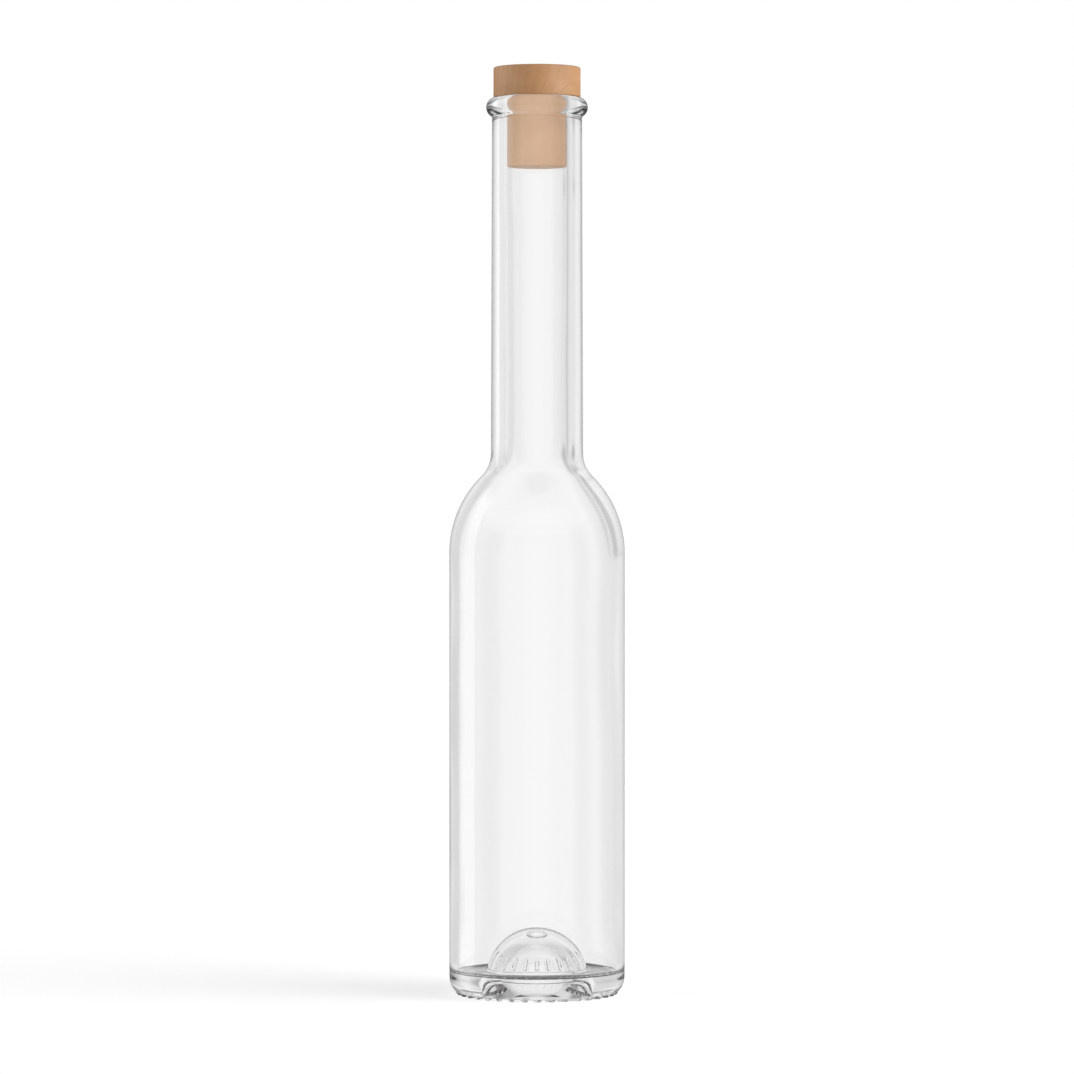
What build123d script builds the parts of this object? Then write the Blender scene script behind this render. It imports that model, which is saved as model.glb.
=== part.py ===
from build123d import *

import os
from math import acos, atan2, degrees, hypot, sqrt

# A slim clear-glass spirit bottle with a long neck, and the T-shaped stopper that closes it:
# a turned beech head, glued to a moulded shank that slides in the neck.
# Millimetres, +Z up. The origin is on the ground, at the middle of the bottle's foot.

# Bottle, outside: barrel, shoulder and neck
barrel_diameter = 57.0
barrel_top_height = 143.5
shoulder_radius = 35.0
neck_root_radius = 10.5
neck_root_diameter = 29.9
neck_top_diameter = 29.2
glass_height = 291.4

# Mouth bead: a round ring of glass, with a crease where it meets the neck
bead_diameter = 33.0
bead_section_diameter = 6.6
bead_crease_radius = 0.7
lip_edge_radius = 0.9

# Foot: the barrel curves in to a ring that carries slanted ridges, flat where they stand
heel_height = 6.0
heel_inset = 2.3
foot_edge_radius = 1.2
foot_ring_width = 4.6
ridge_count = 36
ridge_width = 2.0
ridge_length = 5.4
ridge_slant = 24.0
ridge_stand = 0.8
ridge_flat_depth = 0.1

# Bottle, inside: the wall grows thicker from the barrel up into the neck
barrel_wall = 2.5
inner_shoulder_drop = 2.5
inner_shoulder_radius = 35.5
inner_root_radius = 15.0
neck_bore_diameter = 19.9
seat_depth = 27.0
seat_taper_length = 6.0

# Floor: a round trough between the wall and a dome that the foot is pushed up into
floor_height = 7.4
floor_corner_radius = 1.5
trough_width = 9.9
dome_height = 21.7
dome_foot_radius = 1.0
dome_tip_share = 0.62
dome_flank_share = 0.37

# Underside: the hollow beneath the dome flares out to the foot ring; plain bars and a boss stand in it
hollow_foot_height = 7.0
hollow_flare_radius = 5.0
dome_wall = 4.4
dome_crown = 5.4
mark_count = 20
mark_width = 1.3
mark_length = 3.4
mark_stand = 0.45
mark_place_share = 0.8
boss_diameter = 5.0
boss_stand = 0.5

# Stopper
shank_diameter = 19.5
shank_reach = 22.8
shank_chamfer = 0.5
fit_clearance = 0.05
head_diameter = 28.3
head_height = 9.7
head_top_edge_radius = 0.6
head_under_edge_radius = 0.3
socket_depth = 3.0
glue_floor = 0.4
glue_side = 0.15

# How far a cutter runs past the face that it opens
overrun = 1.0

barrel_radius = barrel_diameter / 2
wall_radius = barrel_radius - barrel_wall
foot_radius = barrel_radius - heel_inset
mouth_radius = shank_diameter / 2 + fit_clearance
dome_radius = wall_radius - trough_width
hollow_radius = dome_radius - dome_wall
hollow_top = dome_height - dome_crown
ring_inner_radius = foot_radius - foot_ring_width


def double_bend(wide, foot, wide_bend, narrow, narrow_bend):
    """The S from a wide wall up to a narrow one: two arcs, tangent to each other and to the walls."""
    low_centre = Vector(wide - wide_bend, foot)
    across = narrow + narrow_bend - low_centre.X
    reach = wide_bend + narrow_bend
    rise = sqrt(reach**2 - across**2)
    turn = degrees(atan2(rise, across))
    high_centre = low_centre + Vector(across, rise)
    low_arc = CenterArc(low_centre, wide_bend, 0, turn)
    high_arc = CenterArc(high_centre, narrow_bend, 180, turn)
    return low_arc, high_arc, high_centre.Y


def dome_line(half_width, foot, top):
    """One side of a dome with a blunt tip, from its top on the axis down to an upright foot."""
    return Bezier(
        (0, top),
        (dome_tip_share * half_width, top),
        (half_width, foot + dome_flank_share * (top - foot)),
        (half_width, foot),
    )


def hollow_line():
    return dome_line(hollow_radius, hollow_foot_height, hollow_top)


def outside_lines():
    """From the foot ring's inner edge out, up the barrel and the neck, and over the bead to the mouth."""
    ring_inner = (ring_inner_radius, ridge_stand)
    ring_outer = (foot_radius, ridge_stand)
    heel_top = (barrel_radius, heel_height)
    heel_rise = heel_height - ridge_stand
    heel_bend = (heel_inset**2 + heel_rise**2) / (2 * heel_inset)
    heel_turn = degrees(atan2(heel_rise, heel_bend - heel_inset))
    heel = CenterArc((barrel_radius - heel_bend, heel_height), heel_bend, -heel_turn, heel_turn)
    shoulder, root, root_top = double_bend(
        barrel_radius, barrel_top_height, shoulder_radius, neck_root_diameter / 2, neck_root_radius
    )
    bead_bend = bead_section_diameter / 2
    bead_centre = Vector(bead_diameter / 2 - bead_bend, glass_height - bead_bend)
    bead_drop = sqrt(bead_bend**2 - (neck_top_diameter / 2 - bead_centre.X) ** 2)
    neck_top = (neck_top_diameter / 2, bead_centre.Y - bead_drop)
    bead_top = bead_centre + Vector(0, bead_bend)
    return [
        Line(ring_inner, ring_outer),
        heel,
        Line(heel_top, (barrel_radius, barrel_top_height)),
        shoulder,
        root,
        Line((neck_root_diameter / 2, root_top), neck_top),
        ThreePointArc(neck_top, bead_centre + Vector(bead_bend, 0), bead_top),
        Line(bead_top, (mouth_radius, glass_height)),
    ], [(ring_outer, foot_edge_radius), (neck_top, bead_crease_radius)]


def inside_lines():
    """From the mouth down the bore, over the shoulder, down the wall, over the floor and up the dome."""
    bore_radius = neck_bore_diameter / 2
    seat_end = glass_height - seat_depth
    shoulder, root, root_top = double_bend(
        wall_radius,
        barrel_top_height - inner_shoulder_drop,
        inner_shoulder_radius,
        bore_radius,
        inner_root_radius,
    )
    corner_centre = (wall_radius - floor_corner_radius, floor_height + floor_corner_radius)
    dome_foot_centre = (dome_radius + dome_foot_radius, floor_height + dome_foot_radius)
    return [
        Line((mouth_radius, glass_height), (mouth_radius, seat_end)),
        Line((mouth_radius, seat_end), (bore_radius, seat_end - seat_taper_length)),
        Line((bore_radius, seat_end - seat_taper_length), (bore_radius, root_top)),
        root,
        shoulder,
        Line(
            (wall_radius, barrel_top_height - inner_shoulder_drop),
            (wall_radius, floor_height + floor_corner_radius),
        ),
        CenterArc(corner_centre, floor_corner_radius, 270, 90),
        Line(
            (wall_radius - floor_corner_radius, floor_height),
            (dome_radius + dome_foot_radius, floor_height),
        ),
        CenterArc(dome_foot_centre, dome_foot_radius, 180, 90),
        dome_line(dome_radius, floor_height + dome_foot_radius, dome_height),
    ], [((mouth_radius, glass_height), lip_edge_radius)]


def underside_lines():
    """From the dome's top down the axis through the glass, down the hollow and out along its flare."""
    flare_centre = Vector(hollow_radius + hollow_flare_radius, hollow_foot_height)
    across = ring_inner_radius - flare_centre.X
    drop = hollow_foot_height - ridge_stand
    leaning = degrees(acos(hollow_flare_radius / hypot(across, drop)))
    flare_turn = 180 - degrees(atan2(drop, across)) - leaning
    flare = CenterArc(flare_centre, hollow_flare_radius, 180, flare_turn)
    return [
        Line((0, dome_height), (0, hollow_top)),
        hollow_line(),
        flare,
        Line(flare @ 1, (ring_inner_radius, ridge_stand)),
    ]


def vessel():
    """The glass without its moulded marks, as one turned body."""
    outside, outside_corners = outside_lines()
    inside, inside_corners = inside_lines()
    section = make_face(Curve() + outside + inside + underside_lines())
    for corner, radius in outside_corners + inside_corners:
        section = fillet(section.vertices().sort_by_distance(corner)[0], radius)
    return revolve(Plane.XZ * section, axis=Axis.Z)


def round_bar(width, length):
    """A bar with round ends along Z, as long as stated from tip to tip."""
    straight = length - width
    ends = [Pos(0, 0, side * straight / 2) * Sphere(width / 2) for side in (-1, 1)]
    return Cylinder(width / 2, straight) + ends


def around(piece, count):
    return [Rot(0, 0, turn * 360 / count) * piece for turn in range(count)]


def foot_ridges():
    """Slanted bars under the foot ring. Each is cut flat at the ground, where the bottle stands."""
    ring_middle = foot_radius - foot_ring_width / 2
    bar_height = ridge_width / 2 - ridge_flat_depth
    bar = Rot(0, 0, ridge_slant) * Rot(0, 90, 0) * round_bar(ridge_width, ridge_length)
    ridge = split(Pos(ring_middle, 0, bar_height) * bar, Plane.XY, keep=Keep.TOP)
    return around(ridge, ridge_count)


def hollow_marks():
    """Upright bars around the hollow under the dome, half sunk in its wall."""
    wall = hollow_line()
    spot = wall @ mark_place_share
    along = wall % mark_place_share
    into_glass = Vector(-along.Y, along.X)
    centre = spot + into_glass * (mark_width / 2 - mark_stand)
    seat = Plane(origin=(centre.X, 0, centre.Y), z_dir=(along.X, 0, along.Y))
    return around(seat * round_bar(mark_width, mark_length), mark_count)


def hollow_boss():
    """A plain round boss at the top of the hollow."""
    height = boss_stand + dome_crown / 2
    boss = Cylinder(boss_diameter / 2, height, align=(Align.CENTER, Align.CENTER, Align.MIN))
    return Pos(0, 0, hollow_top - boss_stand) * boss


def bottle_glass():
    return vessel() + foot_ridges() + hollow_marks() + hollow_boss()


def upright_cylinder(diameter, low, high):
    body = Cylinder(diameter / 2, high - low, align=(Align.CENTER, Align.CENTER, Align.MIN))
    return Pos(0, 0, low) * body


socket_diameter = shank_diameter + 2 * glue_side
socket_top = glass_height + socket_depth
shank_top = socket_top - glue_floor


def stopper_head():
    """A turned disc with eased edges, sat on the bottle's mouth, with a socket for the shank."""
    disc = upright_cylinder(head_diameter, glass_height, glass_height + head_height)
    rims = disc.edges().filter_by(GeomType.CIRCLE).sort_by(Axis.Z)
    disc = fillet(rims[-1], head_top_edge_radius)
    rims = disc.edges().filter_by(GeomType.CIRCLE).sort_by(Axis.Z)
    disc = fillet(rims[0], head_under_edge_radius)
    return disc - upright_cylinder(socket_diameter, glass_height - overrun, socket_top)


def stopper_shank():
    """The straight plug that fills the bore, glued in the head's socket."""
    plug = upright_cylinder(shank_diameter, glass_height - shank_reach, shank_top)
    rims = plug.edges().filter_by(GeomType.CIRCLE).sort_by(Axis.Z)
    return chamfer(rims[0], shank_chamfer)


def stopper_glue():
    """The set glue: a thin cup between the shank's end and the socket."""
    cup = upright_cylinder(socket_diameter, glass_height, socket_top)
    return cup - upright_cylinder(shank_diameter, glass_height - overrun, shank_top)


pieces = {
    "bottle_glass": bottle_glass,
    "stopper_head": stopper_head,
    "stopper_shank": stopper_shank,
    "stopper_glue": stopper_glue,
}

os.makedirs("parts", exist_ok=True)
for name, make in pieces.items():
    export_step(make(), f"parts/{name}.step")
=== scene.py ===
from math import acos, asin, atan2, cos, degrees, hypot, pi, radians, sin, sqrt

import bpy
import numpy as np
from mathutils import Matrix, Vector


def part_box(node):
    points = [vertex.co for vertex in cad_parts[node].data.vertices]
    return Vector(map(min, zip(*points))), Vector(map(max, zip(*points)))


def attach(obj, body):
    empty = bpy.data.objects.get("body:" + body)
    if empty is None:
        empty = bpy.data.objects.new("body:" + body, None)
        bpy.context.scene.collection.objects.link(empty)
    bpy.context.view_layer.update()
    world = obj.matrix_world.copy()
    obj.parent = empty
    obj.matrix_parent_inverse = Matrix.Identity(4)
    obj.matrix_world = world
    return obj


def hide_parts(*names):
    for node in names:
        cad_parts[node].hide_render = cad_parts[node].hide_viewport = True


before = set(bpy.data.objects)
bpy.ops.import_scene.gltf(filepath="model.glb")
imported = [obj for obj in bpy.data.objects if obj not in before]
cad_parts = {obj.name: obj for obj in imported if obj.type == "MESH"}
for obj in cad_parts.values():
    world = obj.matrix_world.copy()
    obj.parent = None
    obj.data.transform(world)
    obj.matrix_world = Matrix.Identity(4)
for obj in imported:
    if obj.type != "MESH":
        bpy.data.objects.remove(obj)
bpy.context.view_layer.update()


# The bottle is one piece of clear flint glass, pressed and blown in an iron mould. The mould gives
# the outside, the mouth and the foot their true shape. Air alone shapes the inside, so the wall
# there is thick and thin in slow waves, and thickest on one side of the shoulder.
MM = 0.001

glass_low, glass_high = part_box("bottle_glass")
barrel_radius = glass_high.x / MM
glass_height = glass_high.z / MM
barrel_top = 143.5
shoulder_bend = 35.0
neck_root_bend = 10.5
neck_root_radius = 14.95
neck_top_radius = 14.6
bead_bend = 3.3
bead_radius = 16.5
bead_crease_bend = 0.7
lip_bend = 0.9

heel_height = 6.0
heel_inset = 2.3
foot_edge_bend = 1.2
ring_width = 4.6
ridge_stand = 0.8

barrel_wall = 2.5
inner_shoulder_drop = 2.5
inner_shoulder_bend = 35.5
inner_root_bend = 15.0
bore_radius = 9.95
mouth_radius = 9.8
seat_depth = 27.0
seat_taper = 6.0

floor_height = 7.4
floor_bend = 1.5
dome_radius = 16.1
dome_height = 21.7
dome_foot_bend = 1.0
hollow_radius = 11.7
hollow_top = 16.3
hollow_foot = 7.0
flare_bend = 5.0
boss_radius = 2.5
boss_stand = 0.5
boss_edge = 0.3

wall_radius = barrel_radius - barrel_wall
inner_shoulder_top = barrel_top - inner_shoulder_drop
foot_radius = barrel_radius - heel_inset
ring_inner = foot_radius - ring_width
dome_tip_share = 0.62
dome_flank_share = 0.37


def straight(start, end, step):
    """Points from start to end, a step apart at most. The end itself is left to what follows."""
    count = max(1, round(hypot(end[0] - start[0], end[1] - start[1]) / step))
    return [(start[0] + (end[0] - start[0]) * i / count, start[1] + (end[1] - start[1]) * i / count)
            for i in range(count)]


def arc(centre, bend, start, end, step):
    """Points on an arc from one angle to the other, in degrees, without the last one."""
    count = max(2, round(bend * radians(abs(end - start)) / step))
    turns = [radians(start + (end - start) * i / count) for i in range(count)]
    return [(centre[0] + bend * cos(t), centre[1] + bend * sin(t)) for t in turns]


def dome(half_width, foot, top, count):
    """So many points down one side of a dome with a blunt tip, from its top to near its upright foot."""
    across = (0, dome_tip_share * half_width, half_width, half_width)
    up = (top, top, foot + dome_flank_share * (top - foot), foot)
    points = []
    for i in range(count):
        t = i / count
        pull = ((1 - t) ** 3, 3 * t * (1 - t) ** 2, 3 * t * t * (1 - t), t**3)
        points.append((sum(p * x for p, x in zip(pull, across)), sum(p * z for p, z in zip(pull, up))))
    return points


def double_bend(wide, foot, wide_bend, narrow, narrow_bend, step):
    """The S from a wide wall up to a narrow one, and the height where the narrow wall begins."""
    across = narrow + narrow_bend - (wide - wide_bend)
    rise = sqrt((wide_bend + narrow_bend) ** 2 - across**2)
    turn = degrees(atan2(rise, across))
    low = arc((wide - wide_bend, foot), wide_bend, 0, turn, step)
    high = arc((narrow + narrow_bend, foot + rise), narrow_bend, 180 + turn, 180, step)
    return low + high, foot + rise


def underside():
    """From the hollow's tip down its wall, and out along its flare to the foot ring."""
    boss_face = hollow_top - boss_stand
    boss_flat = boss_radius - boss_edge
    tip = [(0.0, boss_face), (boss_flat / 2, boss_face), (boss_flat, boss_face)]
    tip += [(boss_radius, boss_face + boss_edge)]
    boss_side = boss_radius + boss_edge
    wall = [p for p in dome(hollow_radius, hollow_foot, hollow_top, count=40) if p[0] > boss_side]
    flare = (hollow_radius + flare_bend, hollow_foot)
    away = (ring_inner - flare[0], ridge_stand - flare[1])
    turn = 360 + degrees(atan2(away[1], away[0]) - acos(flare_bend / hypot(*away)))
    shelf = (flare[0] + flare_bend * cos(radians(turn)), flare[1] + flare_bend * sin(radians(turn)))
    skirt = arc(flare, flare_bend, 180, turn, step=0.5)
    return tip + wall + skirt + straight(shelf, (ring_inner, ridge_stand), step=0.8)


def outside():
    """From the foot ring up the barrel and the neck, over the bead to the mouth."""
    heel_rise = heel_height - ridge_stand
    heel_bend = (heel_inset**2 + heel_rise**2) / (2 * heel_inset)
    heel = (barrel_radius - heel_bend, heel_height)
    edge_rise = ridge_stand + foot_edge_bend
    edge_out = sqrt((heel_bend - foot_edge_bend) ** 2 - (heel_height - edge_rise) ** 2)
    edge = (heel[0] + edge_out, edge_rise)
    edge_turn = degrees(atan2(heel_height - edge_rise, edge_out))
    shoulder, root = double_bend(
        barrel_radius, barrel_top, shoulder_bend, neck_root_radius, neck_root_bend, step=1.0)
    bead = (bead_radius - bead_bend, glass_height - bead_bend)
    crease_out = neck_top_radius + bead_crease_bend - bead[0]
    crease_turn = degrees(asin(crease_out / (bead_bend + bead_crease_bend)))
    crease = (bead[0] + crease_out, bead[1] - (bead_bend + bead_crease_bend) * cos(radians(crease_turn)))
    lip = (mouth_radius + lip_bend, glass_height - lip_bend)
    points = straight((ring_inner, ridge_stand), (edge[0], ridge_stand), step=0.26)
    points += arc(edge, foot_edge_bend, -90, -edge_turn, step=0.2)
    points += arc(heel, heel_bend, -edge_turn, 0, step=0.6)
    points += straight((barrel_radius, heel_height), (barrel_radius, barrel_top), step=6.0)
    points += shoulder
    points += straight((neck_root_radius, root), (neck_top_radius, crease[1]), step=6.0)
    points += arc(crease, bead_crease_bend, 180, 90 + crease_turn, step=0.15)
    points += arc(bead, bead_bend, crease_turn - 90, 90, step=0.35)
    points += straight((bead[0], glass_height), (lip[0], glass_height), step=0.8)
    points += arc(lip, lip_bend, 90, 180, step=0.25)
    return points


def eased(line, reach, step):
    """Points a step apart along a line, each the mean of the line near it, so that no bend is sharp.
    The reach is the standard deviation of the bell curve that weighs the mean."""
    line = np.array(line)
    along = np.append(0, np.cumsum(np.hypot(*np.diff(line, axis=0).T)))
    spread = np.linspace(-3, 3, 49)
    weight = np.exp(-(spread**2) / 2)
    points = []
    for here in np.arange(step, along[-1] - step / 2, step):
        near_by = here + spread * reach
        points.append(tuple(np.average(np.interp(near_by, along, axis), weights=weight) for axis in line.T))
    return points


def inside():
    """From the mouth down the bore, over the shoulder, down the wall and over the floor to the dome."""
    shoulder, root = double_bend(
        wall_radius, inner_shoulder_top, inner_shoulder_bend, bore_radius, inner_root_bend, step=1.0)
    seat_end = glass_height - seat_depth
    corner_top = floor_height + floor_bend
    dome_foot = (dome_radius + dome_foot_bend, floor_height + dome_foot_bend)
    bore_top = (bore_radius, seat_end - seat_taper)
    corner = (wall_radius - floor_bend, corner_top)
    points = straight((mouth_radius, glass_height - lip_bend), (mouth_radius, seat_end), step=2.5)
    points += straight((mouth_radius, seat_end), bore_top, step=2.0)
    run = [bore_top, (bore_radius, root)] + shoulder[:0:-1]
    run += [(wall_radius, inner_shoulder_top), (wall_radius, corner_top)]
    points += [bore_top] + eased(run, reach=3.0, step=1.6)
    points += arc(corner, floor_bend, 0, -90, step=0.26)
    points += straight((corner[0], floor_height), (dome_foot[0], floor_height), step=0.26)
    points += arc(dome_foot, dome_foot_bend, 270, 180, step=0.3)
    flank = dome(dome_radius, dome_foot[1], dome_height, count=34)
    return points + [(dome_radius, dome_foot[1])] + flank[:0:-1] + [(0.0, dome_height)]


def turned(name, rows, around, push=None):
    """A mesh turned from rows of (radius, height) in mm, each with so many vertices around. Push gives
    how far each vertex of a row moves out along the normal. Neighbouring rows may differ in count."""
    rows = np.array(rows)
    along = np.gradient(rows, axis=0)
    along /= np.linalg.norm(along, axis=1)[:, None]
    out = np.stack([along[:, 1], -along[:, 0]], axis=1)
    vertices, rings, faces = [], [], []
    for i, (radius, height) in enumerate(rows):
        count = around[i] if radius > 0 else 1
        turn = np.arange(count) * 2 * pi / count
        move = push(i, radius, height, turn) if push and radius > 0 else np.zeros(count)
        r = radius + out[i, 0] * move
        z = height + out[i, 1] * move
        rings.append(list(range(len(vertices), len(vertices) + count)))
        vertices += [tuple(v) for v in np.stack([r * np.cos(turn), r * np.sin(turn), z], axis=1) * MM]
    for low, high in zip(rings, rings[1:]):
        few, many = sorted((len(low), len(high)))
        sides = few if few > 1 else many
        for j in range(sides):
            face = []
            for ring, order in ((low, 1), (high, -1)):
                stitch = range(j * len(ring) // sides, (j + 1) * len(ring) // sides + 1)
                face += [ring[k % len(ring)] for k in stitch][::order]
            faces.append(tuple(dict.fromkeys(face)))
    mesh = bpy.data.meshes.new(name)
    mesh.from_pydata(vertices, [], faces)
    mesh.polygons.foreach_set("use_smooth", [True] * len(mesh.polygons))
    mesh.update()
    piece = bpy.data.objects.new(name, mesh)
    bpy.context.scene.collection.objects.link(piece)
    return piece


# The mould cuts slanted ridges under the foot and plain upright bars in the hollow. A half is half the
# width of a bar, and a reach is how far its straight part runs each way from its middle.
ridge_count = 36
ridge_half = 1.0
ridge_reach = 1.7
ridge_slant = radians(24)
mark_count = 20
mark_half = 0.65
mark_reach = 1.05
mark_stand = 0.45
mark_height = 10.1
wall_run = 1.1


def near(turn, count):
    """The angle to the nearest of so many marks evenly spaced around."""
    pitch = 2 * pi / count
    return (turn + pitch / 2) % pitch - pitch / 2


def round_bar(across, along, half, reach, stand):
    """How far a bar with round ends stands out of a face that it is sunk into."""
    distance = np.hypot(across, np.maximum(np.abs(along) - reach, 0))
    return np.clip(np.sqrt(np.maximum(half**2 - distance**2, 0)) - (half - stand), 0, stand)


def foot_ridges(radius, turn):
    """How far the slanted ridges stand out of the foot ring."""
    bearing = near(turn, ridge_count)
    outward = radius * np.cos(bearing) - (ring_inner + foot_radius) / 2
    sideways = radius * np.sin(bearing)
    along = outward * cos(ridge_slant) + sideways * sin(ridge_slant)
    across = sideways * cos(ridge_slant) - outward * sin(ridge_slant)
    return round_bar(across, along, ridge_half, ridge_reach, ridge_stand)


def hollow_marks(radius, height, turn):
    """How far the bars stand out of the hollow. Its wall runs wall_run mm for each mm of height."""
    sideways = radius * np.sin(near(turn, mark_count))
    return round_bar(sideways, (height - mark_height) * wall_run, mark_half, mark_reach, mark_stand)


# The air pushed more glass to the right, most of all below the shoulder, and a little to the left. In
# the neck the right side's share and the waves are weaker, and by the seat and the floor all of it ends.
# Each wave has its depth in mm, its count and start around, how it winds, and how it comes and goes up
# the wall.
left_swell = 0.3
left_spread = radians(70)
right_swell = 0.5
right_spread = radians(38)
heap_swell = 0.5
heap_height = 120
heap_reach = 25
slow_waves = (
    (0.09, 2, 0.8, 31, 23, 0.4),
    (0.05, 3, 2.1, -40, 11, 1.9),
    (0.03, 5, 4.0, 17, 6.3, 0.7),
)
drift_foot = floor_height + 3
drift_fade_in = 14
drift_top = glass_height - 30
drift_fade_out = 12
neck_foot = 185
neck_change = 20
neck_share = 0.35


def wall_drift(height, turn):
    """How much further in the blown inside stands than the true wall, in mm."""
    left = left_swell * np.exp(-(near(turn - pi, 1) / left_spread) ** 2)
    right = np.exp(-(near(turn, 1) / right_spread) ** 2)
    right *= right_swell + heap_swell * np.exp(-((height - heap_height) / heap_reach) ** 2)
    waves = sum(depth * np.sin(count * turn + start + height / wind) * np.sin(height / swell + phase)
                for depth, count, start, wind, swell, phase in slow_waves)
    fade = np.clip((height - drift_foot) / drift_fade_in, 0, 1)
    fade *= np.clip((drift_top - height) / drift_fade_out, 0, 1)
    slim = np.clip((neck_foot - height) / neck_change, neck_share, 1)
    return (left + right * slim + waves * slim) * fade


# The floor's rings stray from true circles in two ways, each with its size, its count and its start.
ring_depth = 0.03
ring_pitch = 1.3
ring_strays = ((1.4, 2, 0.6), (0.8, 5, 2.0))
corner_height = floor_height + floor_bend


def floor_rings(radius, height, turn):
    """The low, uneven rings that the glass of the floor set in as it cooled, in mm."""
    wander = sum(size * np.sin(count * turn + start) for size, count, start in ring_strays)
    strength = 0.6 + 0.4 * np.sin(3 * turn + 1.1)
    rings = np.sin(radius * 2 * pi / ring_pitch + wander) * strength
    by_wall = max(0, corner_height - height) / floor_bend
    by_dome = max(0, radius - dome_radius - 2 * dome_foot_bend)
    return ring_depth * rings * min(1, by_wall, by_dome)


hollow_rows = underside()
outer_rows = outside()
inner_rows = inside()
glass_rows = hollow_rows + outer_rows + inner_rows
inner_start = len(hollow_rows) + len(outer_rows)


def glass_push(i, radius, height, turn):
    """Bars in the hollow, ridges under the foot, rings on the floor and waves in the wall. The dome and
    the outside stay true."""
    if i < len(hollow_rows):
        return hollow_marks(radius, height, turn)
    if i < inner_start:
        return foot_ridges(radius, turn) if height < ridge_stand + foot_edge_bend else np.zeros(len(turn))
    if height < dome_height and radius < dome_radius + 2 * dome_foot_bend:
        return np.zeros(len(turn))
    if height < corner_height:
        return floor_rings(radius, height, turn)
    return wall_drift(height, turn)


# Some rows on either side of the bars and ridges are as fine as those that run through them.
bar_zone = 2.4
ridge_zone = 1.0
ridge_top = ridge_stand + foot_edge_bend / 2


def is_marked(i):
    """Whether a row runs through the hollow's bars or the foot's ridges, or right beside them."""
    radius, height = glass_rows[i]
    in_hollow = i < len(hollow_rows) and abs(height - mark_height) < bar_zone
    on_foot = i < inner_start and radius > ring_inner - ridge_zone and height < ridge_top
    return in_hollow or on_foot


# The vertices around a marked row divide by the counts of both ridges and bars.
plain_around = 180
marked_around = 3 * plain_around
glass_around = [marked_around if is_marked(i) else plain_around for i in range(len(glass_rows))]
bottle = turned("bottle", glass_rows, glass_around, glass_push)


def linear(code):
    """An sRGB hex colour as the linear values that a shader takes."""
    parts = [int(code[i:i + 2], 16) / 255 for i in (1, 3, 5)]
    return [p / 12.92 if p <= 0.04045 else ((p + 0.055) / 1.055) ** 2.4 for p in parts] + [1.0]


def add(tree, kind, settings=None, links=None):
    """Adds a node. Settings are its properties, ramp stops and socket values; links are its sources."""
    node = tree.nodes.new(kind)
    for key, value in (settings or {}).items():
        if key == "stops":
            while len(node.color_ramp.elements) < len(value):
                node.color_ramp.elements.new(1.0)
            for element, (place, colour) in zip(node.color_ramp.elements, value):
                element.position = place
                grey = (colour, colour, colour, 1.0)
                element.color = linear(colour) if isinstance(colour, str) else grey
        elif isinstance(key, int) or key in node.inputs:
            node.inputs[key].default_value = value
        else:
            setattr(node, key, value)
    for key, source in (links or {}).items():
        socket = source if isinstance(source, bpy.types.NodeSocket) else source.outputs[0]
        tree.links.new(socket, node.inputs[key])
    return node


def new_material(name):
    material = bpy.data.materials.new(name)
    material.use_nodes = True
    material.node_tree.nodes.clear()
    return material, material.node_tree


# Flint glass has an IOR of 1.52 and no colour to speak of. Fire polish leaves its skin smooth, with a
# faint ripple some 14 mm long. The eye sees it by its edges.
flint, tree = new_material("clear_flint_glass")
place = add(tree, "ShaderNodeTexCoord").outputs["Object"]
ripple = add(tree, "ShaderNodeTexNoise", {"Scale": 1 / (14 * MM), "Detail": 2.0}, {"Vector": place})
skin = add(tree, "ShaderNodeBump", {"Strength": 0.05, "Distance": 0.2 * MM}, {"Height": ripple})
glass = add(tree, "ShaderNodeBsdfPrincipled",
            {"Base Color": linear("#FFFFFF"), "Roughness": 0.0, "IOR": 1.52, "Transmission Weight": 1.0},
            {"Normal": skin})
depth = add(tree, "ShaderNodeVolumeAbsorption", {"Color": linear("#EAEAEA"), "Density": 6.0})
add(tree, "ShaderNodeOutputMaterial", None, {"Surface": glass, "Volume": depth})
bottle.data.materials.append(flint)
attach(bottle, "bottle")
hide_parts("bottle_glass")


# The stopper's shank is a plug of foamed polymer, moulded in a cork beige with a fine matt skin. Its
# lower end is eased, and carries the small round scar of the gate that the mould was filled through.
shank_low, shank_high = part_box("stopper_shank")
shank_radius = shank_high.x / MM
shank_foot = shank_low.z / MM
shank_top = shank_high.z / MM
shank_ease = 0.5
shank_top_ease = 0.2
gate_radius = 1.6
gate_depth = 0.25
gate_flare = 0.2
gate_bevel = 0.3
gate_lip = 0.05
part_line_turn = radians(118)
part_line_width = 0.12
part_line_depth = 0.03
shank_around = 384

gate_edge = (gate_radius + gate_flare, shank_foot)
eased_foot = (shank_radius - shank_ease, shank_foot + shank_ease)
eased_top = (shank_radius - shank_top_ease, shank_top)
shank_rows = [(0.0, shank_foot + gate_depth), (gate_radius - gate_bevel, shank_foot + gate_depth)]
shank_rows += [(gate_radius, shank_foot + gate_lip)]
shank_rows += straight(gate_edge, (eased_foot[0], shank_foot), step=1.0)
shank_rows += arc(eased_foot, shank_ease, -90, 0, step=0.12)
shank_rows += straight((shank_radius, eased_foot[1]), (shank_radius, shank_top - shank_top_ease), step=1.0)
shank_rows += [(shank_radius, shank_top - shank_top_ease), eased_top, (0.0, shank_top)]


def shank_push(i, radius, height, turn):
    """The moulded skin dips a hair where the two halves of the mould met."""
    part_line = np.exp(-(radius * near(turn - part_line_turn, 2) / part_line_width) ** 2)
    return -part_line_depth * part_line if radius == shank_radius else np.zeros(len(turn))


shank = turned("shank", shank_rows, [shank_around] * len(shank_rows), shank_push)

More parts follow.
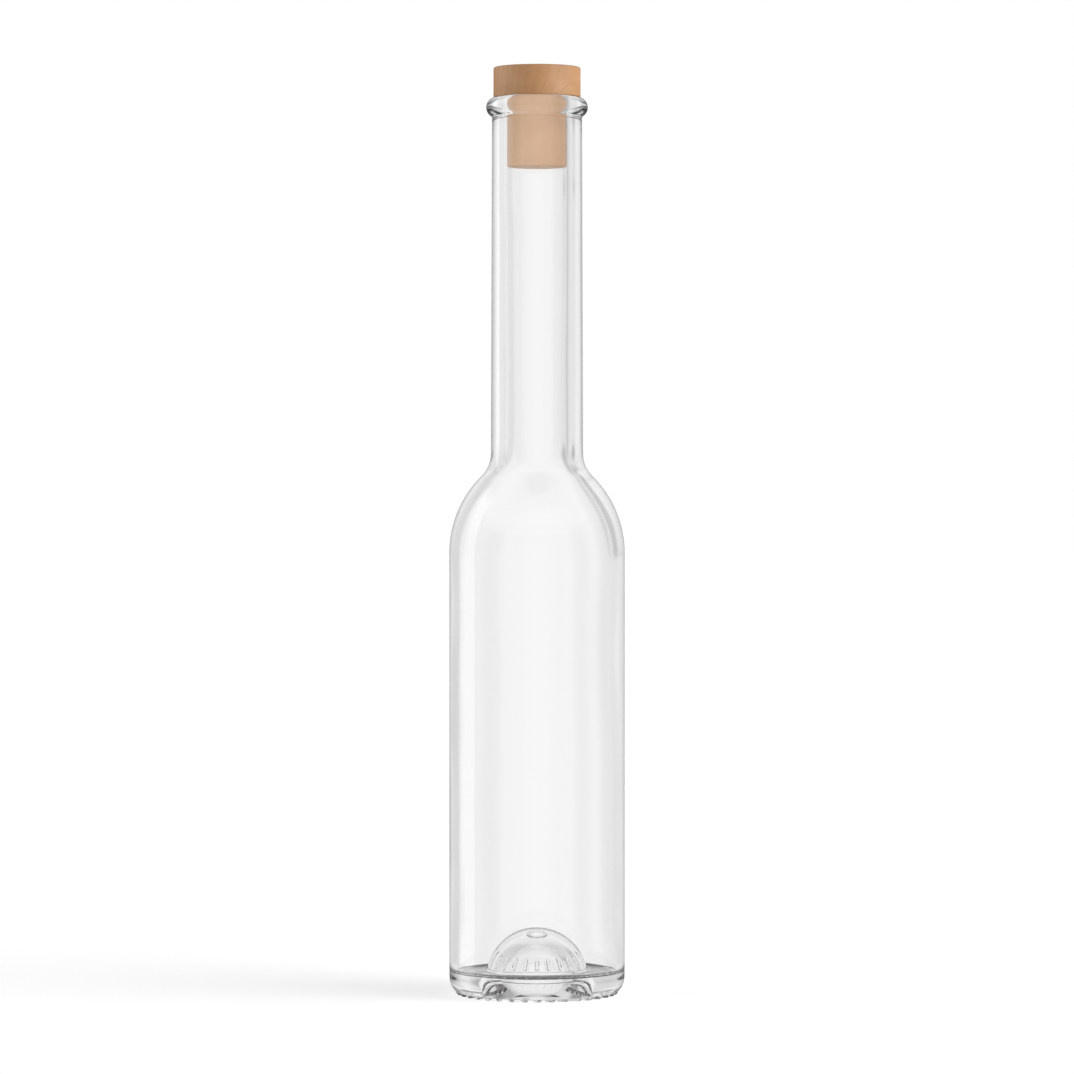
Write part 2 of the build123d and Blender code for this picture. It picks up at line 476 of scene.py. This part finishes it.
# Foamed polymer is matt and even, with fine closed cells that show as a faint mottle. They are drawn
# 0.6 mm wide, coarser than real ones, so that they show at all.
beige, tree = new_material("foamed_polymer")
place = add(tree, "ShaderNodeTexCoord").outputs["Object"]
cells = add(tree, "ShaderNodeTexNoise", {"Scale": 1 / (0.6 * MM), "Detail": 3.0}, {"Vector": place})
cloud = add(tree, "ShaderNodeTexNoise", {"Scale": 1 / (7 * MM), "Detail": 1.0}, {"Vector": place})
mottle = add(tree, "ShaderNodeMath", {"operation": "ADD"}, {0: cells, 1: cloud})
shade = add(tree, "ShaderNodeValToRGB", {"stops": [(0.35, "#CCA483"), (0.65, "#D2AE8D")]},
            {"Fac": add(tree, "ShaderNodeMath", {"operation": "MULTIPLY", 1: 0.5}, {0: mottle})})
rough = add(tree, "ShaderNodeBump", {"Strength": 0.25, "Distance": 0.05 * MM}, {"Height": cells})
plug = add(tree, "ShaderNodeBsdfPrincipled", {"Roughness": 0.6, "IOR": 1.5},
           {"Base Color": shade, "Normal": rough})
add(tree, "ShaderNodeOutputMaterial", None, {"Surface": plug})
shank.data.materials.append(beige)
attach(shank, "stopper")
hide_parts("stopper_shank")


# The stopper's head is a disc of beech, turned across the grain, eased at its edges, and lacquered
# matt. Its socket holds the shank.
head_low, head_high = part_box("stopper_head")
head_radius = head_high.x / MM
head_foot = head_low.z / MM
head_top = head_high.z / MM
socket_radius = 9.9
socket_depth = 3.0
socket_top = head_foot + socket_depth
top_ease = 0.6
under_ease = 0.3
tool_pitch = 1.3
tool_depth = 0.024
innermost_ring = 1.0
head_around = 256

low_edge = (head_radius - under_ease, head_foot + under_ease)
high_edge = (head_radius - top_ease, head_top - top_ease)
head_rows = [(0.0, socket_top)]
head_rows += straight((innermost_ring, socket_top), (socket_radius, socket_top), step=3.0)
head_rows += straight((socket_radius, socket_top), (socket_radius, head_foot), step=1.0)
head_rows += straight((socket_radius, head_foot), (low_edge[0], head_foot), step=1.0)
head_rows += arc(low_edge, under_ease, -90, 0, step=0.1)
head_rows += straight((head_radius, low_edge[1]), (head_radius, high_edge[1]), step=0.5)
head_rows += arc(high_edge, top_ease, 0, 90, step=0.12)
head_rows += straight((high_edge[0], head_top), (innermost_ring, head_top), step=0.8)
head_rows += [(0.0, head_top)]


def head_push(i, radius, height, turn):
    """The turning tool leaves its faint spiral on the rim."""
    on_rim = low_edge[1] < height < high_edge[1] and radius > socket_radius
    spiral = (1 + np.sin(turn + height * 2 * pi / tool_pitch)) / 2
    return -tool_depth * spiral if on_rim else np.zeros(len(turn))


head = turned("head", head_rows, [head_around] * len(head_rows), head_push)

# Beech is a close pale-brown wood with thin growth lines and short dark flecks along the grain. The
# lines run about 2.4 mm apart, around a heart that lay some 80 mm off, to the right and to the front.
beech, tree = new_material("lacquered_beech")
place = add(tree, "ShaderNodeTexCoord").outputs["Object"]
sawn = add(tree, "ShaderNodeMapping",
           {"Location": (-6 * MM, 0.0, -262 * MM), "Rotation": (radians(12), radians(-24), radians(28))},
           {"Vector": place})
wander = add(tree, "ShaderNodeTexNoise", {"Scale": 1 / (9 * MM), "Detail": 3.0}, {"Vector": sawn})
growth = add(tree, "ShaderNodeTexWave",
             {"wave_type": "RINGS", "rings_direction": "Y", "wave_profile": "SAW",
              "Scale": 0.314 / (2.4 * MM), "Distortion": 5.0, "Detail": 1.0, "Detail Scale": 0.5},
             {"Vector": sawn})
lines = add(tree, "ShaderNodeValToRGB",
            {"stops": [(0.0, 0.0), (0.82, 0.0), (0.94, 1.0), (1.0, 0.2)]}, {"Fac": growth})
stretch = add(tree, "ShaderNodeMapping", {"Scale": (1.0, 0.12, 1.0)}, {"Vector": sawn})
grain = add(tree, "ShaderNodeTexNoise", {"Scale": 1 / (0.35 * MM), "Detail": 2.0}, {"Vector": stretch})
flecks = add(tree, "ShaderNodeValToRGB", {"stops": [(0.62, 0.0), (0.72, 1.0)]}, {"Fac": grain})
ground = add(tree, "ShaderNodeValToRGB",
             {"stops": [(0.3, "#AE7F55"), (0.55, "#B6875C"), (0.75, "#BD8F65")]}, {"Fac": wander})
lined = add(tree, "ShaderNodeMix", {"data_type": "RGBA", 7: linear("#9C6A46")},
            {6: ground, 0: add(tree, "ShaderNodeMath", {"operation": "MULTIPLY", 1: 0.32}, {0: lines})})
faint = add(tree, "ShaderNodeMath", {"operation": "MULTIPLY", 1: 0.3}, {0: flecks})
flecked = add(tree, "ShaderNodeMix", {"data_type": "RGBA", 7: linear("#96643F")},
              {6: lined.outputs[2], 0: faint})
pores = add(tree, "ShaderNodeBump", {"Strength": 0.2, "Distance": 0.05 * MM}, {"Height": grain})
wood = add(tree, "ShaderNodeBsdfPrincipled", {"Roughness": 0.5, "IOR": 1.5},
           {"Base Color": flecked.outputs[2], "Normal": pores})
add(tree, "ShaderNodeOutputMaterial", None, {"Surface": wood})
head.data.materials.append(beech)
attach(head, "stopper")
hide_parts("stopper_head")


# The glue is a thin cup of hot-melt adhesive, set in the head's socket around the shank. It was
# squeezed out as the shank went in, so its free edge is not quite level.
edge_drop = 0.12
glue_around = 192
edge_middle = (shank_radius + socket_radius) / 2

glue_rows = [(0.0, shank_top)]
glue_rows += straight((innermost_ring, shank_top), (shank_radius, shank_top), step=1.5)
glue_rows += straight((shank_radius, shank_top), (shank_radius, head_foot), step=0.4)
glue_rows += [(shank_radius, head_foot), (edge_middle, head_foot)]
glue_rows += straight((socket_radius, head_foot), (socket_radius, socket_top), step=0.4)
glue_rows += straight((socket_radius, socket_top), (innermost_ring, socket_top), step=1.5)
glue_rows += [(0.0, socket_top)]


def glue_push(i, radius, height, turn):
    """The free edge wanders up and down by a little."""
    uneven = (1 + np.sin(3 * turn) * np.sin(7 * turn + 1)) / 2
    return -edge_drop * uneven if height == head_foot else np.zeros(len(turn))


glue = turned("glue", glue_rows, [glue_around] * len(glue_rows), glue_push)

# Hot-melt adhesive sets to a waxy, slightly cloudy cream, with small bubbles caught in it.
melt, tree = new_material("hot_melt_adhesive")
place = add(tree, "ShaderNodeTexCoord").outputs["Object"]
haze = add(tree, "ShaderNodeTexNoise", {"Scale": 1 / (2 * MM), "Detail": 3.0}, {"Vector": place})
bubbles = add(tree, "ShaderNodeTexVoronoi", {"Scale": 1 / (0.8 * MM)}, {"Vector": place})
cream = add(tree, "ShaderNodeValToRGB", {"stops": [(0.3, "#DCCFB0"), (0.7, "#EBE1C8")]}, {"Fac": haze})
dimple = add(tree, "ShaderNodeBump", {"Strength": 0.3, "Distance": 0.1 * MM}, {"Height": bubbles})
cured = add(tree, "ShaderNodeBsdfPrincipled", {"Roughness": 0.35, "IOR": 1.48},
            {"Base Color": cream, "Normal": dimple})
add(tree, "ShaderNodeOutputMaterial", None, {"Surface": cured})
glue.data.materials.append(melt)
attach(glue, "stopper")
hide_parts("stopper_glue")


# The floor is a white sheet of matt paper, far wider than the picture. Part of its light is its own, so
# that it stays white and the shadow soft.
floor_reach = 8.0
floor_mesh = bpy.data.meshes.new("floor")
corners = [(x * floor_reach, y * floor_reach, 0.0) for x, y in ((-1, -1), (1, -1), (1, 1), (-1, 1))]
floor_mesh.from_pydata(corners, [], [(0, 1, 2, 3)])
floor = bpy.data.objects.new("floor", floor_mesh)
bpy.context.scene.collection.objects.link(floor)
paper, tree = new_material("white_paper")
matt = add(tree, "ShaderNodeBsdfDiffuse", {"Color": linear("#C0C0C0")})
glow = add(tree, "ShaderNodeEmission", {"Color": linear("#FFFFFF"), "Strength": 0.65})
lit_paper = add(tree, "ShaderNodeAddShader", None, {0: matt, 1: glow})

# A look through the glass finds the sheet white where it comes down steeply, from above the foot, and a
# painted shade, a faint glow, in the narrow gap that the ridges leave under the foot. A level look goes
# on to the tent. How level it is shows in its run outside the wall, as a share of its length.
sight = add(tree, "ShaderNodeLightPath")
spot = add(tree, "ShaderNodeTexCoord").outputs["Object"]
from_axis = add(tree, "ShaderNodeVectorMath", {"operation": "LENGTH"}, {0: spot}).outputs["Value"]
run = add(tree, "ShaderNodeMath", {"operation": "SUBTRACT", 1: wall_radius * MM}, {0: from_axis})
levelness = add(tree, "ShaderNodeMath", {"operation": "DIVIDE"}, {0: run, 1: sight.outputs["Ray Length"]})
steep = add(tree, "ShaderNodeMapRange",
            {"interpolation_type": "SMOOTHSTEP", "From Min": 0.85, "From Max": 0.93, "To Min": 1.0,
             "To Max": 0.0}, {"Value": levelness})
high_up = add(tree, "ShaderNodeMapRange",
              {"interpolation_type": "SMOOTHSTEP", "From Min": 10 * MM, "From Max": 35 * MM},
              {"Value": sight.outputs["Ray Length"]})
down = add(tree, "ShaderNodeMath", {"operation": "MULTIPLY"}, {0: steep, 1: high_up})
no_matt_yet = add(tree, "ShaderNodeMath", {"operation": "LESS_THAN", 1: 0.5},
                  {0: sight.outputs["Diffuse Depth"]})
passed = sight.outputs["Is Transmission Ray"]
looked = add(tree, "ShaderNodeMath", {"operation": "MULTIPLY"}, {0: no_matt_yet, 1: passed})
shows_white = add(tree, "ShaderNodeMath", {"operation": "MULTIPLY"}, {0: down, 1: looked})
clear = add(tree, "ShaderNodeBsdfTransparent")
white = add(tree, "ShaderNodeEmission", {"Color": linear("#FFFFFF"), "Strength": 0.93})
open_floor = add(tree, "ShaderNodeMixShader", None, {0: shows_white, 1: clear, 2: white})
# Painted shade: a look through the glass that meets the sheet within a few mm, under the foot, shows a dark
# glow in place of the sheet's light.
close_by = add(tree, "ShaderNodeMapRange",
               {"interpolation_type": "SMOOTHSTEP", "From Min": 3 * MM, "From Max": 7 * MM, "To Min": 1.0,
                "To Max": 0.0}, {"Value": sight.outputs["Ray Length"]})
gap_shade_mask = add(tree, "ShaderNodeMath", {"operation": "MULTIPLY"}, {0: close_by, 1: looked})
painted_gap_shade = add(tree, "ShaderNodeEmission", {"Color": linear("#FFFFFF"), "Strength": 0.05})
below = add(tree, "ShaderNodeMixShader", None, {0: gap_shade_mask, 1: open_floor, 2: painted_gap_shade})
by_glass = add(tree, "ShaderNodeMath", {"operation": "MAXIMUM"},
               {0: passed, 1: sight.outputs["Is Glossy Ray"]})
sheet = add(tree, "ShaderNodeMixShader", None, {0: by_glass, 1: lit_paper, 2: below})
add(tree, "ShaderNodeOutputMaterial", None, {"Surface": sheet})
floor_mesh.materials.append(paper)


# The light is a white tent with a large softbox on the right, a weaker one on the left, and a grey
# flag beside the camera on either hand. The camera sees the tent as plain white. The glass shows its
# panels and flags, darker near the ground, and mirrors the softbox on the left.
world = bpy.data.worlds.new("tent")
bpy.context.scene.world = world
world.use_nodes = True
tree = world.node_tree
tree.nodes.clear()
path = add(tree, "ShaderNodeLightPath")
look = add(tree, "ShaderNodeTexCoord").outputs["Generated"]
axes = add(tree, "ShaderNodeSeparateXYZ", None, {"Vector": look})
east, north, rise = axes.outputs["X"], axes.outputs["Y"], axes.outputs["Z"]

# What shows through the glass, by compass direction from left through straight behind to right.
deep = add(tree, "ShaderNodeMath", {"operation": "ABSOLUTE"}, {0: north})
bearing = add(tree, "ShaderNodeMath", {"operation": "ARCTAN2"}, {0: east, 1: deep})
sweep = add(tree, "ShaderNodeMapRange", {"From Min": -pi / 2, "From Max": pi / 2}, {"Value": bearing})
panels = add(tree, "ShaderNodeValToRGB",
             {"stops": [(0.0, 0.90), (0.16, 0.88), (0.235, 0.75), (0.36, 0.77), (0.406, 0.95), (0.544, 0.98),
                        (0.572, 0.93), (0.611, 0.87), (0.66, 0.82), (0.75, 0.82), (0.82, 0.75),
                        (0.89, 0.48)]},
             {"Fac": sweep})
upward = add(tree, "ShaderNodeMapRange", {"From Min": -1.0, "From Max": 1.0}, {"Value": rise})
heights = add(tree, "ShaderNodeValToRGB",
              {"stops": [(0.0, 0.3), (0.05, 0.08), (0.25, 0.08), (0.31, 0.90), (0.35, 1.0), (0.60, 1.0),
                         (0.70, 0.92), (0.85, 0.86)]}, {"Fac": upward})
behind_all = add(tree, "ShaderNodeMath", {"operation": "MULTIPLY"}, {0: panels, 1: heights})
front_to_back = add(tree, "ShaderNodeMapRange", {"From Min": -1.0, "From Max": 1.0}, {"Value": north})
flags = add(tree, "ShaderNodeValToRGB",
            {"stops": [(0.0, 0.97), (0.20, 0.97), (0.26, 0.4), (0.42, 0.4), (0.525, 1.0)]},
            {"Fac": front_to_back})
shown = add(tree, "ShaderNodeMath", {"operation": "MULTIPLY"}, {0: behind_all, 1: flags})

# The tent is pinned at its back on the right, and the fold there shows as a streak in the shoulder.
from_fold = add(tree, "ShaderNodeVectorMath", {"operation": "DISTANCE", 1: (0.48, 0.84, 0.25)}, {0: look})
fold = add(tree, "ShaderNodeMapRange",
           {"interpolation_type": "SMOOTHSTEP", "From Min": 0.10, "From Max": 0.24, "To Min": 0.64},
           {"Value": from_fold.outputs["Value"]})
through = add(tree, "ShaderNodeMath", {"operation": "MULTIPLY"}, {0: shown, 1: fold})

# What the glass mirrors.
compass = add(tree, "ShaderNodeMath", {"operation": "ARCTAN2"}, {0: north, 1: east})
beside = add(tree, "ShaderNodeMapRange", {"From Min": 2.50, "From Max": 2.64}, {"Value": compass})
under = add(tree, "ShaderNodeMapRange", {"From Min": 0.75, "From Max": 0.6}, {"Value": rise})
softbox = add(tree, "ShaderNodeMath", {"operation": "MULTIPLY"}, {0: beside, 1: under})
level = add(tree, "ShaderNodeMath", {"operation": "ABSOLUTE"}, {0: rise})
steep = add(tree, "ShaderNodeMapRange", {"From Min": 0.12, "From Max": 0.4, "To Min": 0.2, "To Max": 0.65},
            {"Value": level})
mirror = add(tree, "ShaderNodeMath", {"operation": "MULTIPLY_ADD", 1: 1.3}, {0: softbox, 2: steep})

# What lights matt surfaces. Behind glass, where some of it is lost, less of it comes from the sides.
passed = path.outputs["Is Transmission Ray"]
squares = [add(tree, "ShaderNodeMath", {"operation": "POWER", 1: 2.0}, {0: axis}) for axis in (deep, east)]
sides = add(tree, "ShaderNodeMath", {"operation": "SUBTRACT"}, {0: squares[1], 1: squares[0]})
fill = add(tree, "ShaderNodeMath", {"operation": "MULTIPLY_ADD", 1: 0.38, 2: 0.2}, {0: sides})
right_way = add(tree, "ShaderNodeVectorMath", {"operation": "DOT_PRODUCT", 1: (0.90, -0.328, 0.287)},
                {0: look})
left_way = add(tree, "ShaderNodeMath", {"operation": "MULTIPLY", 1: -1.0}, {0: east})
open_key = fill
for way, narrow, bright in ((right_way.outputs["Value"], 8.0, 6.3), (left_way, 4.0, 1.8)):
    facing = add(tree, "ShaderNodeMath", {"operation": "MAXIMUM", 1: 0.0}, {0: way})
    lobe = add(tree, "ShaderNodeMath", {"operation": "POWER", 1: narrow}, {0: facing})
    open_key = add(tree, "ShaderNodeMath", {"operation": "MULTIPLY_ADD", 1: bright}, {0: lobe, 2: open_key})
glass_key = add(tree, "ShaderNodeMath", {"operation": "MULTIPLY_ADD", 1: 1.45, 2: 0.77}, {0: deep})
key = add(tree, "ShaderNodeMix", None, {0: passed, 2: open_key, 3: glass_key})

# The first part of a path, before any matt surface, is what the eye sees through or in the glass.
matt_yet = add(tree, "ShaderNodeMath", {"operation": "MINIMUM", 1: 1.0}, {0: path.outputs["Diffuse Depth"]})
eye = add(tree, "ShaderNodeMath", {"operation": "SUBTRACT", 0: 1.0}, {1: matt_yet})
behind = add(tree, "ShaderNodeMath", {"operation": "MULTIPLY"}, {0: passed, 1: eye})
glossy = add(tree, "ShaderNodeMath", {"operation": "MULTIPLY"}, {0: path.outputs["Is Glossy Ray"], 1: eye})
mirrored = add(tree, "ShaderNodeMath", {"operation": "SUBTRACT", "use_clamp": True}, {0: glossy, 1: behind})
seen = add(tree, "ShaderNodeMath", {"operation": "ADD"}, {0: path.outputs["Is Camera Ray"], 1: behind})
special = add(tree, "ShaderNodeMath", {"operation": "ADD"}, {0: seen, 1: mirrored})
lit = add(tree, "ShaderNodeMath", {"operation": "SUBTRACT", 0: 1.0}, {1: special})
light = path.outputs["Is Camera Ray"]
for part, weight in ((key, lit), (through, behind), (mirror, mirrored)):
    light = add(tree, "ShaderNodeMath", {"operation": "MULTIPLY_ADD"}, {0: part, 1: weight, 2: light})
tent = add(tree, "ShaderNodeBackground", {"Color": linear("#FFFFFF")}, {"Strength": light})
add(tree, "ShaderNodeOutputWorld", None, {"Surface": tent})


# The camera stands 1.49 m in front of the bottle, a little above its middle.
photo_side = 1074
focal_pixels = 4580
sensor_width = 36.0
camera_away = 1.4885
camera_up = 0.1715
camera_dip = 0.878
lens = bpy.data.cameras.new("camera")
lens.sensor_width = sensor_width
lens.lens = sensor_width * focal_pixels / photo_side
camera = bpy.data.objects.new("camera", lens)
camera.location = (0.0, -camera_away, camera_up)
camera.rotation_euler = (radians(90 - camera_dip), 0.0, 0.0)
bpy.context.scene.collection.objects.link(camera)
bpy.context.scene.camera = camera
bpy.context.scene.view_settings.view_transform = "Standard"

# Light runs along inside a glass wall by many inner reflections before it leaves.
bpy.context.scene.cycles.glossy_bounces = 64
bpy.context.scene.cycles.transmission_bounces = 64
bpy.context.scene.cycles.max_bounces = 96
